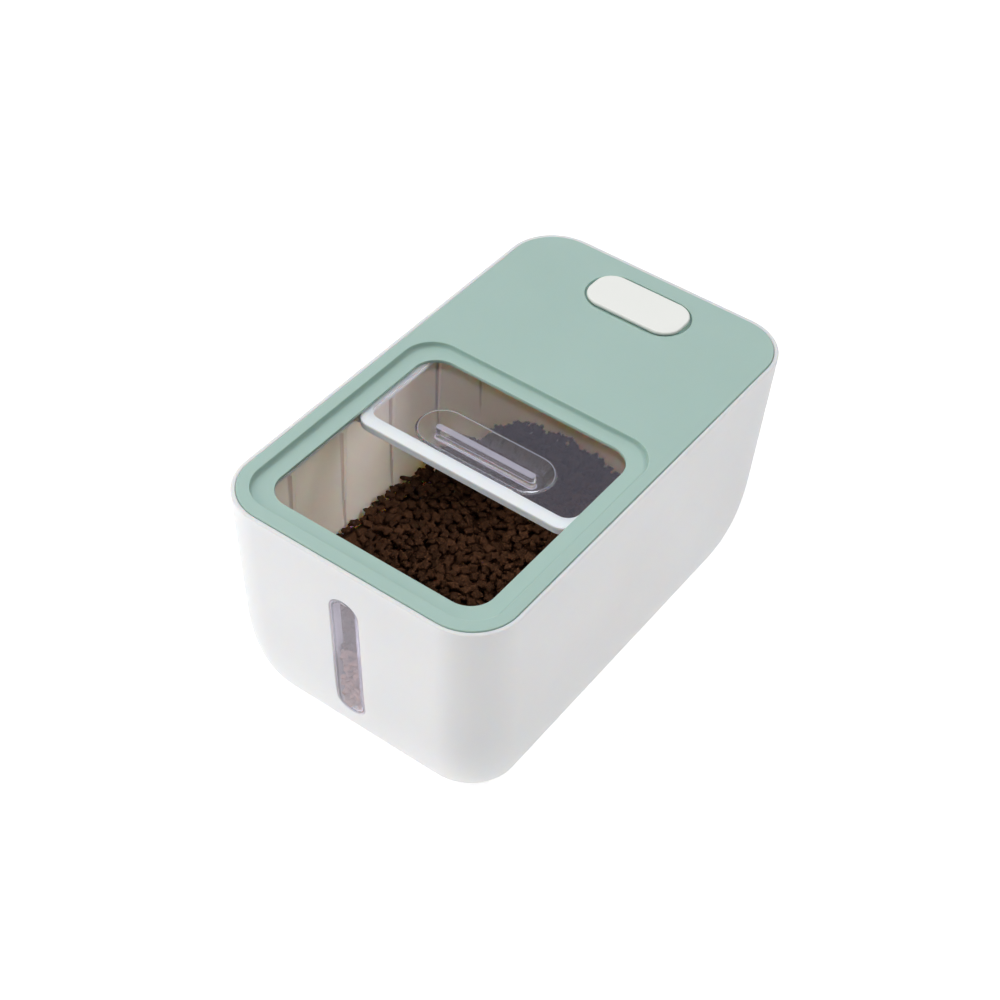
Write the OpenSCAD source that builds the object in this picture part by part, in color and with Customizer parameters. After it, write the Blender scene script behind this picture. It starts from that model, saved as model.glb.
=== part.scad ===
// Pet food bin: an open-topped bin with a flush lift-off lid. A clear door slides
// under the lid on two rails, and a small cover closes a cup of drying agent.
// Millimetres. The origin is at the bottom centre, the front faces -Y, and +Z is up.

/* [Bin] */
// Width across the rim
bin_w = 240; // [236:1:250]
// Length along the rim
bin_l = 408; // [404:1:420]
// Height from the feet to the rim
bin_h = 206; // [200:1:230]
// Corner radius at the rim
corner_r = 42; // [40:1:44]
// How far each side leans in at the base
side_draft = 2.5; // [1:0.5:4]
// How far each end leans in at the base
end_draft = 16; // [12:1:18]
// Height of the rounding from the base into the sides
side_curve_h = 86; // [70:1:95]
// Depth of the rounding from the base into the sides
side_curve_d = 22; // [16:1:24]
// Height of the rounding from the base into the ends
end_curve_h = 73; // [60:1:90]
// Depth of the rounding from the base into the ends
end_curve_d = 29; // [20:1:30]
// Thickness of the walls
wall_t = 4.4; // [4:0.1:5]
// Thickness of the floor
floor_t = 3.5; // [3:0.1:5]
// Thickness of the rim above the ledge that carries the lid
rim_t = 3.5; // [3:0.1:3.5]
// Width of the land around the inside that the lid rests on
ledge_t = 5.6; // [5.5:0.1:5.8]
// How far the feet stand below the base
foot_h = 1.5; // [1:0.1:2]

/* [Grooves inside the long walls] */
// Number of grooves in each long wall
groove_count = 5; // [1:2:5]
// Distance between grooves
groove_pitch = 59.5; // [50:0.5:60]
// Width of a groove at its top
groove_top_w = 10; // [8:0.5:11]
// Width of a groove at its foot
groove_foot_w = 3; // [2.5:0.5:4]

/* [Front window] */
// Width of the window
window_w = 25.6; // [20:0.2:28]
// Height of the lowest point of the window
window_low = 47; // [44:1:60]
// Height of the highest point of the window
window_high = 173.6; // [150:0.2:176]
// Depth of the window's skirt
window_skirt = 10; // [8:0.5:10]

/* [Lid] */
// Gap between the lid and the rim
lid_gap = 0.3; // [0.3:0.1:0.5]
// How far the lid's top stands above the rim
lid_rise = 0.6; // [0:0.1:0.8]
// Thickness of the lid's top sheet
lid_t = 2.4; // [2:0.1:2.5]
// Half width of the shallow recess around the door opening
recess_x = 107; // [106:0.1:107.2]
// Front edge of the recess
recess_front = -190; // [-190.2:0.1:-188]
// Rear edge of the recess
recess_rear = 31.4; // [30:0.1:33]
// Corner radius of the recess
recess_r = 27; // [24:1:30]
// Depth of the recess
recess_depth = 4.6; // [4.5:0.1:4.7]
// Width of the slope around the recess
recess_slope = 1; // [0.8:0.1:1.5]
// Half width of the door opening
opening_x = 92.4; // [90:0.1:92.4]
// Front edge of the door opening
opening_front = -175.4; // [-175.5:0.1:-173]
// Rear edge of the door opening
opening_rear = 18.5; // [16:0.1:19]
// Corner radius of the door opening
opening_r = 20; // [16:1:22]

/* [Sliding door] */
// Length of the door
door_l = 205; // [204:1:206]
// Front edge of the door when it is slid open
door_front = -72.4; // [-73:0.1:-71.4]
// Travel from open to closed
door_travel = 107; // [100:1:107]
// Half width of the door's frame
door_x = 95.1; // [94.6:0.1:95.2]
// Outer corner radius of the frame
door_r = 13; // [12:1:14]
// Width of the bars across the frame's ends
door_bar = 10.9; // [10:0.1:11.5]
// Half width of the clear area
clear_x = 90.6; // [90:0.1:91]
// Length of the finger dimple
dimple_l = 113.3; // [100:0.1:120]
// Width of the finger dimple
dimple_w = 38; // [36:1:40]
// Middle of the dimple behind the door's front edge
dimple_back = 33.9; // [33:0.1:36]
// Depth of the dimple
dimple_depth = 11; // [9:0.5:12]
// Length of the ridge in the dimple
grip_l = 88; // [80:1:90]
// Thickness of the ridge
grip_t = 5.6; // [4:0.1:6]

/* [Drying agent] */
// Middle of the cup behind the bin's middle
cup_y = 161.2; // [160:0.1:161.5]
// Length of the cover
cover_l = 84.4; // [84:0.1:85]
// Width of the cover
cover_w = 40.6; // [40.4:0.1:41.4]
// Corner radius of the cover
cover_r = 16.5; // [16:0.5:19]
// Length of the pocket in the lid
pocket_l = 90.8; // [90:0.1:91]
// Width of the pocket in the lid
pocket_w = 46.6; // [46:0.1:47]
// Depth of the cup
cup_depth = 20; // [16:1:24]

/* [Hidden] */
$fn = 64;
over = 1;      // cutters run this far past what they cut
fit = 0.1;     // gap between pieces that are assembled and stay together
sliver = 0.01; // a tapered cutter passes the face it starts from by this much

// Bin
base_z = foot_h;
floor_z = base_z + floor_t;
arc_steps = 9;
curve_steps = 8;
corner_drop = 0.25;
rim_round = 1.2;
rim_knee = rim_round * 0.3;
ledge_low = bin_h - 18;
land_low = ledge_low - 10;
foot_r = 8;
foot_x = 60;
foot_y = 110;
foot_seat = 1;

// Grooves
groove_top_deep = 2;
groove_foot_deep = 0.6;
groove_low = 72;

// Window
window_mid = (window_low + window_high) / 2;
window_l = window_high - window_low;
window_face_t = 1.7;
window_rebate = window_face_t + fit;
window_lip = 1.4;
window_wall = 1.2;
snap_z = 27.5;
snap_l = 5;
snap_out = 0.7;
snap_t = 1.2;
snap_deep = 1.2;
window_reach = 32;

// Lid
lid_top = bin_h + lid_rise;
lid_under = lid_top - lid_t;
ledge_z = lid_under - fit;
lid_x = bin_w / 2 - rim_t - lid_gap;
lid_y = bin_l / 2 - rim_t - lid_gap;
lid_r = corner_r - rim_t - lid_gap;
recess_floor = lid_top - recess_depth;
recess_t = 2.8;
recess_under = recess_floor - recess_t;
skirt_in = 3.5;
skirt_t = 1.8;
skirt_low = 192;
skirt_flange_t = 1.2;
skirt_flange_out = 1;
gasket_body = 0.7;
gasket_lip = 1.2;
gasket_h = 4.6;
gasket_root = gasket_h * 0.5;
gasket_tip_low = gasket_h * 0.75;
gasket_tip_high = gasket_h * 0.85;

// Door, from the top down
door_top = recess_under - 0.8;
door_rear = door_front + door_l;
door_mid = door_front + door_l / 2;
frame_lip = 1;
panel_t = 2;
panel_top = door_top - frame_lip;
panel_x = clear_x + 2;
seam_z = panel_top - panel_t - fit;
frame_low_h = 3.6;
door_low = seam_z - fit - frame_low_h;
low_frame_in = 0.2;
panel_in = 9;
panel_r = door_r - 4;
clear_r = door_r - 2;
runner_x = 101.5;
runner_in = 4;
runner_r = 2;
dimple_slope = 7.5;
dimple_floor = panel_top - dimple_depth;
dimple_skin = 1.8;
grip_low = dimple_floor - 0.5;
grip_high = panel_top - 0.4;

// Rails
slide_gap = 0.3;
rail_web_x = runner_x + 0.5;
rail_web_t = 2;
rail_flange_x = 97.5;
rail_flange_t = 1.8;
rail_flange_z = door_low - slide_gap;
rail_front = door_front + runner_in - door_travel - slide_gap;
rail_rear = door_rear - runner_in + slide_gap;
rail_stop = 2.4;
rail_guide_x = 93.4;
rail_guide_z = door_top + slide_gap;
rail_rise_y = recess_rear + 4;
ear_z = 194.2;
ear_t = 2;
ear_half = 5;
screw_x = 107.4;
screw_ys = [-150, -60, 60, 118];
screw_r = 1.25;
screw_head_r = 2.6;
screw_head_t = 2;
screw_head_taper = 0.6;
screw_gap = 0.4;
cross_w = 0.8;
cross_l = 3;
cross_deep = 1;
screw_up = 6;
boss_r = 3.1;

// Drying agent
pocket_ledge = lid_top - 2.5;
pocket_t = 2;
cup_l = 76;
cup_w = 32.4;
cup_wall = 1.5;
cup_flange_t = 1.2;
cup_flange_in = 1.5;
cup_top = pocket_ledge + fit + cup_flange_t;
cup_low = cup_top - cup_flange_t - cup_depth;
cup_gap = 0.4;
slot_pitch = 9;
slot_w = 3;
floor_slot_l = 18.4;
side_slot_l = 10;
side_slot_up = 9;
sachet_l = 66;
sachet_w = 25;
sachet_h = 12;
sachet_r = 6;
cover_top = bin_h + 2.6;
cover_low = cup_top + fit;
plug_gap = 0.2;
plug_h = 4;
plug_t = 1.3;

bin_white = [0.94, 0.94, 0.94];
lid_green = [0.69, 0.79, 0.75];
clear_violet = [0.80, 0.78, 0.88, 0.5];
rubber_grey = [0.55, 0.55, 0.55];
silicone = [0.88, 0.90, 0.89];
steel = [0.72, 0.73, 0.75];
paper_white = [0.96, 0.96, 0.93];

// ---- Outlines and sweeps ----

// Rounded rectangle centred on the origin.
module rounded(w, l, r) {
    square([w - 2 * r, l], center = true);
    square([w, l - 2 * r], center = true);
    for (sx = [-1, 1], sy = [-1, 1])
        translate([sx * (w / 2 - r), sy * (l / 2 - r)])
            circle(r);
}

// Stadium with its long axis along X.
module stadium(l, w) {
    square([l - w, w], center = true);
    for (sx = [-1, 1])
        translate([sx * (l - w) / 2, 0])
            circle(w / 2);
}

// Solid stadium whose width grows from low_w to high_w over the height h.
module stadium_taper(l, low_w, high_w, h) {
    rotate([90, 0, 90])
        linear_extrude(l - high_w, center = true)
            polygon([[-low_w / 2, 0], [low_w / 2, 0], [high_w / 2, h], [-high_w / 2, h]]);
    for (sx = [-1, 1])
        translate([sx * (l - high_w) / 2, 0, 0])
            cylinder(h = h, r1 = low_w / 2, r2 = high_w / 2);
}

// Sweeps a profile round a rounded rectangle. The profile's +X points outwards
// from the rectangle's edge and its +Y points up.
module swept(w, l, r) {
    for (side = [0, 180]) {
        rotate([0, 0, side])
            translate([w / 2, 0, 0])
                rotate([90, 0, 0])
                    linear_extrude(l - 2 * r, center = true)
                        children();
        rotate([0, 0, side + 90])
            translate([l / 2, 0, 0])
                rotate([90, 0, 0])
                    linear_extrude(w - 2 * r, center = true)
                        children();
    }
    for (sx = [-1, 1], sy = [-1, 1])
        translate([sx * (w / 2 - r), sy * (l / 2 - r), 0])
            rotate([0, 0, sx > 0 ? (sy > 0 ? 0 : 270) : (sy > 0 ? 90 : 180)])
                rotate_extrude(angle = 90)
                    translate([r, 0])
                        children();
}

// ---- Bin ----

// Inset of an elliptic rounding of height h and depth d, at height z above its foot.
function curve_in(z, h, d) = z >= h ? 0 : d * (1 - sqrt(1 - pow((h - z) / h, 2)));

// One closed ring of the bin's surface at height z, t inside the outer surface,
// for a rounding that starts at height foot.
function ring(z, t, foot) =
    let (lean = 1 - z / bin_h)
    let (side_in = curve_in(z - foot, side_curve_h, side_curve_d))
    let (end_in = curve_in(z - foot, end_curve_h, end_curve_d))
    let (a = bin_w / 2 - side_draft * lean - side_in - t)
    let (b = bin_l / 2 - end_draft * lean - end_in - t)
    let (r = corner_r - t - corner_drop * min(side_in, end_in))
    [for (quarter = [0:3], i = [0:arc_steps])
        let (turn = 90 * (quarter + i / arc_steps))
        let (sx = quarter == 0 || quarter == 3 ? 1 : -1)
        let (sy = quarter < 2 ? 1 : -1)
        [sx * (a - r) + r * cos(turn), sy * (b - r) + r * sin(turn), z]];

// Heights that follow the rounding from its foot to its top.
function curve_heights(foot) =
    [for (i = [0:curve_steps]) foot + side_curve_h * (1 - cos(90 * i / curve_steps))];

// A closed solid through rings of equal length, from the first to the last.
module loft(rings) {
    n = len(rings[0]);
    last = len(rings) - 1;
    points = [for (one = rings) for (p = one) p];
    walls = [for (k = [0:last - 1], i = [0:n - 1])
        [k * n + i, (k + 1) * n + i, (k + 1) * n + (i + 1) % n, k * n + (i + 1) % n]];
    foot = [[for (i = [0:n - 1]) i]];
    top = [[for (i = [n - 1:-1:0]) last * n + i]];
    polyhedron(points, concat(walls, foot, top));
}

module bin_shell() {
    outside = concat(
        [for (z = curve_heights(base_z)) ring(z, 0, base_z)],
        [ring(bin_h - rim_round, 0, base_z),
         ring(bin_h - rim_knee, rim_knee, base_z),
         ring(bin_h, rim_round, base_z)]);
    land = ring(ledge_z, ledge_t, base_z);
    rim_inside = [ring(bin_h, rim_t - rim_round / 2, base_z),
        ring(bin_h - rim_round / 2, rim_t, base_z),
        ring(ledge_z, rim_t, base_z),
        land,
        [for (p = land) [p.x, p.y, ledge_low]],
        ring(land_low, wall_t, base_z)];
    heights = curve_heights(floor_z);
    inside = [for (i = [curve_steps:-1:0]) ring(heights[i], wall_t, floor_z)];
    loft(concat(outside, rim_inside, inside));
}

// Radius of the circle whose chord of width w cuts a groove of depth d.
function groove_radius(w, d) = (w * w / 4 + d * d) / (2 * d);

module groove_cutter() {
    high_r = groove_radius(groove_top_w, groove_top_deep);
    low_r = groove_radius(groove_foot_w, groove_foot_deep);
    high_x = bin_w / 2 - wall_t + groove_top_deep - high_r;
    low_lean = 1 - groove_low / bin_h;
    low_x = bin_w / 2 - side_draft * low_lean - wall_t + groove_foot_deep - low_r;
    run = ledge_low - groove_low;
    translate([low_x, 0, groove_low])
        rotate([0, atan((high_x - low_x) / run), 0])
            cylinder(h = run, r1 = low_r, r2 = high_r);
}

module grooves() {
    for (side = [0, 180], i = [0:groove_count - 1])
        translate([0, (i - (groove_count - 1) / 2) * groove_pitch, 0])
            rotate([0, 0, side])
                groove_cutter();
}

// The layer of the bin between two depths below its outer surface, where the window is.
module wall_layer(from, to) {
    first = 3;
    heights = curve_heights(base_z);
    difference() {
        loft(concat([for (i = [first:curve_steps]) ring(heights[i], from, base_z)],
            [ring(ledge_low, from, base_z)]));
        loft(concat([for (i = [first - 1:curve_steps]) ring(heights[i], to, base_z)],
            [ring(ledge_low + over, to, base_z)]));
    }
}

// A bar through the front wall, inset from the window's outline.
module window_bar(inset) {
    translate([0, -bin_l / 2 + window_reach, window_mid])
        rotate([90, 0, 0])
            linear_extrude(window_reach + over)
                rotate(90) stadium(window_l - 2 * inset, window_w - 2 * inset);
}

module window_hole() {
    window_bar(window_lip);
    intersection() {
        window_bar(0);
        wall_layer(-over, window_rebate);
    }
}

module at_feet(sx, sy) {
    translate([sx * foot_x, sy * foot_y, 0])
        children();
}

module bin_body() {
    color(bin_white)
        difference() {
            bin_shell();
            grooves();
            window_hole();
            for (sx = [-1, 1], sy = [-1, 1])
                at_feet(sx, sy)
                    cylinder(h = base_z + foot_seat + fit, r = foot_r + fit);
        }
}

module window_insert() {
    skirt_in = fit + window_lip;
    snap_y = bin_l / 2 - end_draft * (1 - window_mid / bin_h) - wall_t - snap_deep;
    color(clear_violet) {
        intersection() {
            window_bar(fit);
            wall_layer(0, window_face_t);
        }
        intersection() {
            difference() {
                window_bar(skirt_in);
                window_bar(skirt_in + window_wall);
            }
            wall_layer(window_face_t - fit, window_skirt);
        }
        for (sx = [-1, 1], sz = [-1, 1])
            translate([sx * (window_w / 2 - skirt_in + snap_out / 2 - fit),
                -snap_y - sz * snap_z * end_draft / bin_h, window_mid + sz * snap_z])
                cube([snap_out + 2 * fit, snap_t, snap_l], center = true);
    }
}

module foot() {
    color(rubber_grey) {
        translate([0, 0, foot_h / 2])
            cylinder(h = foot_h / 2 + foot_seat, r = foot_r);
        cylinder(h = foot_h / 2, r1 = foot_r - foot_h / 2, r2 = foot_r);
    }
}

module foot_front_left() { at_feet(-1, -1) foot(); }
module foot_front_right() { at_feet(1, -1) foot(); }
module foot_rear_left() { at_feet(-1, 1) foot(); }
module foot_rear_right() { at_feet(1, 1) foot(); }

// ---- Lid ----

// Places children at the middle of the recess in the lid.
module at_recess() {
    translate([0, (recess_front + recess_rear) / 2, 0])
        children();
}

// The recess, or with t above 0 the outside of the tray that forms it.
module recess_shape(t) {
    w = 2 * (recess_x - recess_slope + t);
    l = recess_rear - recess_front - 2 * (recess_slope - t);
    r = recess_r - recess_slope + t;
    low = recess_floor - t;
    at_recess() {
        translate([0, 0, low])
            linear_extrude(lid_top - low)
                rounded(w, l, r);
        swept(w, l, r)
            polygon([[-fit, low], [0, low], [recess_slope, lid_top], [-fit, lid_top]]);
    }
}

module lid_skirt() {
    w = 2 * (lid_x - skirt_in);
    l = 2 * (lid_y - skirt_in);
    r = lid_r - skirt_in;
    translate([0, 0, skirt_low])
        linear_extrude(lid_under - skirt_low + fit)
            difference() {
                rounded(w, l, r);
                rounded(w - 2 * skirt_t, l - 2 * skirt_t, r - skirt_t);
            }
    translate([0, 0, skirt_low])
        linear_extrude(skirt_flange_t)
            difference() {
                rounded(w + 2 * skirt_flange_out, l + 2 * skirt_flange_out, r + skirt_flange_out);
                rounded(w - 2 * skirt_t, l - 2 * skirt_t, r - skirt_t);
            }
}

module screw_places() {
    for (side = [-1, 1], y = screw_ys)
        translate([side * screw_x, y, 0])
            children();
}

module lid_panel() {
    pocket_low = pocket_ledge - pocket_t;
    boss_low = ear_z + ear_t + fit;
    color(lid_green)
        difference() {
            union() {
                translate([0, 0, lid_under])
                    linear_extrude(lid_t)
                        rounded(2 * lid_x, 2 * lid_y, lid_r);
                recess_shape(recess_t);
                lid_skirt();
                translate([0, cup_y, pocket_low])
                    linear_extrude(lid_under - pocket_low + fit)
                        stadium(pocket_l + 2 * pocket_t, pocket_w + 2 * pocket_t);
                screw_places()
                    translate([0, 0, boss_low])
                        cylinder(h = lid_under - boss_low + fit, r = boss_r);
            }
            translate([0, 0, lid_top])
                at_recess()
                    linear_extrude(over)
                        rounded(2 * recess_x, recess_rear - recess_front, recess_r);
            recess_shape(0);
            translate([0, (opening_front + opening_rear) / 2, recess_under - over])
                linear_extrude(recess_t + 2 * over)
                    rounded(2 * opening_x, opening_rear - opening_front, opening_r);
            translate([0, cup_y, pocket_ledge])
                linear_extrude(lid_top - pocket_ledge + over)
                    stadium(pocket_l, pocket_w);
            translate([0, cup_y, pocket_low - over])
                linear_extrude(pocket_t + 2 * over)
                    stadium(cup_l + 2 * cup_gap, cup_w + 2 * cup_gap);
            screw_places()
                translate([0, 0, ear_z])
                    cylinder(h = screw_up + fit, r = screw_r + fit / 2);
        }
}

module lid_gasket() {
    seat_z = skirt_low + skirt_flange_t + fit;
    color(silicone)
        swept(2 * (lid_x - skirt_in), 2 * (lid_y - skirt_in), lid_r - skirt_in)
            translate([fit, seat_z])
                polygon([[0, 0], [gasket_body, 0], [gasket_lip - fit, gasket_tip_low],
                    [gasket_lip - fit, gasket_tip_high], [gasket_body, gasket_root],
                    [gasket_body, gasket_h], [0, gasket_h]]);
}

// Channel on the +X side that the door's runner slides in.
module rail() {
    web_out = rail_web_x + rail_web_t;
    color(bin_white)
        difference() {
            union() {
                translate([rail_web_x, 0, 0])
                    rotate([90, 0, 90])
                        linear_extrude(rail_web_t)
                            polygon([[rail_front - rail_stop, rail_flange_z - rail_flange_t],
                                [rail_rear + rail_stop, rail_flange_z - rail_flange_t],
                                [rail_rear + rail_stop, lid_under - fit],
                                [rail_rise_y, lid_under - fit],
                                [rail_rise_y, recess_under - fit],
                                [rail_front - rail_stop, recess_under - fit]]);
                translate([rail_flange_x, rail_front - rail_stop, rail_flange_z - rail_flange_t])
                    cube([web_out - rail_flange_x, rail_rear - rail_front + 2 * rail_stop, rail_flange_t]);
                for (y = [rail_front - rail_stop, rail_rear])
                    translate([rail_flange_x, y, rail_flange_z - rail_flange_t])
                        cube([web_out - rail_flange_x, rail_stop, seam_z - rail_flange_z + rail_flange_t]);
                translate([rail_guide_x, rail_rise_y, rail_guide_z])
                    cube([web_out - rail_guide_x, rail_rear + rail_stop - rail_rise_y, rail_flange_t]);
                for (y = screw_ys)
                    translate([rail_web_x, y - ear_half, ear_z])
                        cube([screw_x + boss_r - rail_web_x, 2 * ear_half, ear_t]);
            }
            for (y = screw_ys)
                translate([screw_x, y, ear_z - over])
                    cylinder(h = ear_t + 2 * over, r = screw_r + screw_gap);
        }
}

module right_rail() { rail(); }
module left_rail() { mirror([1, 0, 0]) rail(); }

module rail_screws() {
    color(steel)
        screw_places() {
            translate([0, 0, ear_z - fit / 2])
                cylinder(h = screw_up, r = screw_r);
            translate([0, 0, ear_z - fit / 2 - screw_head_t])
                difference() {
                    cylinder(h = screw_head_t, r1 = screw_head_r - screw_head_taper,
                        r2 = screw_head_r);
                    for (turn = [0, 90])
                        rotate([0, 0, turn])
                            cube([cross_w, cross_l, 2 * cross_deep], center = true);
                }
        }
}

// ---- Sliding door ----

// Places children at the middle of the door.
module at_door() {
    translate([0, door_mid, 0])
        children();
}

module clear_area() {
    rounded(2 * clear_x, door_l - 2 * door_bar, clear_r);
}

module door_top_frame() {
    color(bin_white)
        at_door()
            difference() {
                translate([0, 0, seam_z])
                    linear_extrude(door_top - seam_z)
                        rounded(2 * door_x, door_l, door_r);
                translate([0, 0, seam_z - over])
                    linear_extrude(door_top - seam_z + 2 * over)
                        clear_area();
                translate([0, 0, seam_z - over])
                    linear_extrude(panel_t + 2 * fit + over)
                        rounded(2 * (panel_x + fit), door_l - 2 * (panel_in - fit), panel_r);
            }
}

module door_bottom_frame() {
    color(bin_white)
        at_door()
            translate([0, 0, door_low])
                linear_extrude(frame_low_h)
                    difference() {
                        union() {
                            rounded(2 * (door_x - low_frame_in), door_l - 2 * low_frame_in, door_r);
                            rounded(2 * runner_x, door_l - 2 * runner_in, runner_r);
                        }
                        clear_area();
                    }
}

module door_panel() {
    color(clear_violet)
        difference() {
            union() {
                translate([0, door_mid, panel_top - panel_t])
                    linear_extrude(panel_t)
                        rounded(2 * panel_x, door_l - 2 * panel_in, panel_r);
                translate([0, door_front + dimple_back, dimple_floor - dimple_skin])
                    stadium_taper(dimple_l + dimple_skin, dimple_w - 2 * dimple_slope + dimple_skin,
                        dimple_w + dimple_skin, dimple_depth);
            }
            difference() {
                translate([0, door_front + dimple_back, dimple_floor])
                    stadium_taper(dimple_l, dimple_w - 2 * dimple_slope, dimple_w,
                        dimple_depth + sliver);
                translate([0, door_front + dimple_back, grip_low])
                    linear_extrude(grip_high - grip_low)
                        stadium(grip_l, grip_t);
            }
        }
}

// ---- Drying agent ----

module at_cup() {
    translate([0, cup_y, 0])
        children();
}

module desiccant_cup() {
    color(bin_white)
        at_cup()
            difference() {
                union() {
                    translate([0, 0, cup_top - cup_flange_t])
                        linear_extrude(cup_flange_t)
                            rounded(cover_l - 2 * cup_flange_in, cover_w - 2 * cup_flange_in,
                                cover_r - cup_flange_in);
                    translate([0, 0, cup_low])
                        linear_extrude(cup_top - cup_low)
                            stadium(cup_l, cup_w);
                }
                translate([0, 0, cup_low + cup_wall])
                    linear_extrude(cup_top - cup_low)
                        stadium(cup_l - 2 * cup_wall, cup_w - 2 * cup_wall);
                for (i = [-3:3])
                    translate([i * slot_pitch, 0, cup_low - over])
                        linear_extrude(cup_wall + 2 * over)
                            rotate(90) stadium(floor_slot_l, slot_w);
                for (i = [-2:2])
                    translate([i * slot_pitch, 0, cup_low + side_slot_up])
                        rotate([90, 0, 0])
                            linear_extrude(cup_w + 2 * over, center = true)
                                rotate(90) stadium(side_slot_l, slot_w);
            }
}

module desiccant_sachet() {
    color(paper_white)
        at_cup()
            translate([0, 0, cup_low + cup_wall + fit])
                linear_extrude(sachet_h)
                    rounded(sachet_l, sachet_w, sachet_r);
}

module desiccant_cover() {
    plug_l = cup_l - 2 * (cup_wall + plug_gap);
    plug_w = cup_w - 2 * (cup_wall + plug_gap);
    color(bin_white)
        at_cup() {
            translate([0, 0, cover_low])
                linear_extrude(cover_top - cover_low)
                    rounded(cover_l, cover_w, cover_r);
            translate([0, 0, cover_low - plug_h])
                linear_extrude(plug_h + fit)
                    difference() {
                        stadium(plug_l, plug_w);
                        stadium(plug_l - 2 * plug_t, plug_w - 2 * plug_t);
                    }
        }
}

bin_body();
window_insert();
foot_front_left();
foot_front_right();
foot_rear_left();
foot_rear_right();
lid_panel();
lid_gasket();
left_rail();
right_rail();
rail_screws();
door_top_frame();
door_bottom_frame();
door_panel();
desiccant_cup();
desiccant_sachet();
desiccant_cover();
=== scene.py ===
"""Pet food bin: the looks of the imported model, with kibble in the bin.

Lengths are in millimetres until a mesh is made, because the design is.
"""
import math
import random

import bmesh
import bpy
import numpy as np
from mathutils import Euler, Matrix, Vector


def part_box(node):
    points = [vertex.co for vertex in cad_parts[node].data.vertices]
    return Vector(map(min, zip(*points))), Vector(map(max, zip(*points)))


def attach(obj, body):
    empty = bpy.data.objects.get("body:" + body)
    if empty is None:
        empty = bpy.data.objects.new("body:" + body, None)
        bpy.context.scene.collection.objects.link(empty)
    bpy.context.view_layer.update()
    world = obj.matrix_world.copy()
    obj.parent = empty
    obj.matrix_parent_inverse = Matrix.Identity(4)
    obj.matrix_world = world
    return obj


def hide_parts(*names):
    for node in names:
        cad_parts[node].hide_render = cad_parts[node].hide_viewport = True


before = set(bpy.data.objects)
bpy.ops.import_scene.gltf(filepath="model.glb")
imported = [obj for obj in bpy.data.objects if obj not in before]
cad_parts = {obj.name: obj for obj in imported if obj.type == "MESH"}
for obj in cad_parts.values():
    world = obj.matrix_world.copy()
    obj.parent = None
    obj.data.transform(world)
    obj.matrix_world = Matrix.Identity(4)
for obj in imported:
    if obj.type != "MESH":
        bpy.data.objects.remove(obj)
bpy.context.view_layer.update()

MM = 0.001
ARC = 14                 # steps in a quarter turn of an outline
FIT = 0.1                # gap between pieces that stay together


# ---------------------------------------------------------------- frame boxes

def box(node):
    """Lowest and highest corner of a CAD node in millimetres."""
    low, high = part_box(node)
    return Vector(low) / MM, Vector(high) / MM


BIN_LOW, BIN_HIGH = box("bin_body")
LID_LOW, LID_HIGH = box("lid_panel")
FRAME_LOW, FRAME_HIGH = box("door_top_frame")
LOWER_LOW, LOWER_HIGH = box("door_bottom_frame")
PANEL_LOW, PANEL_HIGH = box("door_panel")
COVER_LOW, COVER_HIGH = box("desiccant_cover")
SACHET_LOW, SACHET_HIGH = box("desiccant_sachet")

# ---------------------------------------------------------------- sizes

# Bin
BIN_W, BIN_L, BIN_H = 240.0, 408.0, BIN_HIGH.z
BASE = BIN_LOW.z
CORNER = 42.0
SIDE_DRAFT, END_DRAFT = 2.5, 16.0
SIDE_CURVE = (86.0, 22.0)      # height, depth
END_CURVE = (73.0, 29.0)
CORNER_DROP = 0.25
WALL, FLOOR, RIM, LEDGE = 4.4, 3.5, 3.5, 5.6
LEDGE_LOW = BIN_H - 18
RIM_ROUND, RIM_ROUND_INSIDE = 1.3, 0.8
GROOVE_PITCH = 59.5
GROOVES = [(i - 2) * GROOVE_PITCH for i in range(5)]
GROOVE_TOP, GROOVE_FOOT = (10.5, 2.4), (3.0, 0.8)      # width, depth
GROOVE_LOW = 60.0

# Window
WINDOW_W, WINDOW_LOW, WINDOW_HIGH = 25.6, 47.0, 173.6
WINDOW_LIP, WINDOW_FACE, WINDOW_SKIRT, WINDOW_WALL = 1.4, 1.7, 10.0, 1.2
SNAP_UP, SNAP_BACK = 27.5, 5.4          # snap lugs: from the window's middle, and behind its face
SNAP_HALF, SNAP_HALF_L = 0.6, 2.5

# Lid
LID_TOP = LID_HIGH.z
LID_UNDER = LID_TOP - 2.4
LID_R = 38.2
RECESS_X, RECESS_FRONT, RECESS_REAR, RECESS_R = 107.0, -190.0, 31.4, 27.0
RECESS_DEPTH, RECESS_T = 4.6, 2.8
RECESS_LIP, RECESS_FOOT = 0.7, 2.0      # radii round the recess, at its top and at its floor
OPENING_X, OPENING_FRONT, OPENING_REAR, OPENING_R = 92.4, -175.4, 18.5, 20.0
SKIRT_IN, SKIRT_T, SKIRT_FLANGE_T, SKIRT_FLANGE_OUT = 3.5, 1.8, 1.2, 1.0
CUP_Y = 161.2
POCKET_L, POCKET_W, POCKET_DEPTH, POCKET_T = 90.8, 46.6, 2.5, 2.0
CUP_L, CUP_W = 76.0, 32.4
COVER_R = 16.5
PLUG_H, PLUG_IN = 4.0, 1.7              # the cover's plug, and its distance inside the cup's outline
SCREW_YS = (-150, -60, 60, 118)
SCREW_HEAD_R, BOSS_UP = 2.6, 4.2        # the bosses start this far above the screws' heads
BOSS_R, BOSS_HOLE_R = 3.1, 1.35

# Door
DOOR_R = 13.0
DOOR_BAR = 10.9
CLEAR_X = 90.6
DIMPLE_L, DIMPLE_W, DIMPLE_BACK, DIMPLE_DEPTH = 113.3, 38.0, 33.9, 11.0
DIMPLE_SLOPE = 7.5
PANEL_T = 2.0
GRIP_L, GRIP_T = 88.0, 5.6


# ---------------------------------------------------------------- outlines

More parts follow.
